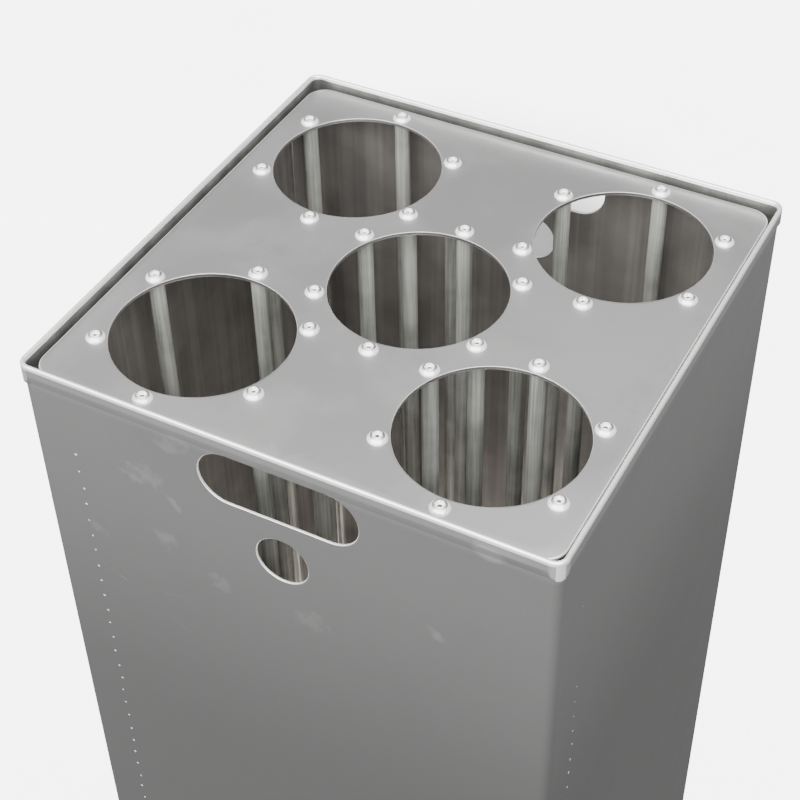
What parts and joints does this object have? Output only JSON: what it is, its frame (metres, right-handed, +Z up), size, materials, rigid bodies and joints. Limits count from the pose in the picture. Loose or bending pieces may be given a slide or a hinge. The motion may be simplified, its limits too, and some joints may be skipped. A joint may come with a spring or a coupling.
{
  "type": "umbrella stand",
  "caption": "Square sheet-metal umbrella stand with hand slots, and a lift-out rack of two plates and rods with round umbrella openings in its top.",
  "frame": {"origin": "centre of the square that the feet stand on, on the floor", "axes": "+Z up; -Y towards the front wall; +X to the right seen from the front; a hand slot is in the -Y wall and another in the +Y wall"},
  "size_m": [0.3, 0.3, 0.6],
  "materials": {
    "bin_sheet": "satin rolled sheet, faintly smudged",
    "rack_plate": "satin rolled sheet",
    "rod_steel": "satin drawn bar",
    "bright_steel": "polished",
    "foot_rubber": "matte"
  },
  "bodies": {
    "bin": {"front_wall": "bin_sheet", "right_wall": "bin_sheet", "rear_wall": "bin_sheet", "left_wall": "bin_sheet", "floor_pan": "bin_sheet", "foot_front_left": "foot_rubber", "foot_front_right": "foot_rubber", "foot_rear_left": "foot_rubber", "foot_rear_right": "foot_rubber", "foot_rivets": "bright_steel"},
    "rack": {"top_plate": "rack_plate", "base_plate": "rack_plate", "rods_front_left": "rod_steel", "rods_front_right": "rod_steel", "rods_center": "rod_steel", "rods_rear_left": "rod_steel", "rods_rear_right": "rod_steel", "top_screws_front_left": "bright_steel", "top_screws_front_right": "bright_steel", "top_screws_center": "bright_steel", "top_screws_rear_left": "bright_steel", "top_screws_rear_right": "bright_steel", "base_screws_front_left": "bright_steel", "base_screws_front_right": "bright_steel", "base_screws_center": "bright_steel", "base_screws_rear_left": "bright_steel", "base_screws_rear_right": "bright_steel"}
  },
  "joints": [
    {"name": "rack_lift", "type": "slide", "parent": "bin", "child": "rack", "axis": [0, 0, 1], "range_m": [0, 0.6]}
  ]
}
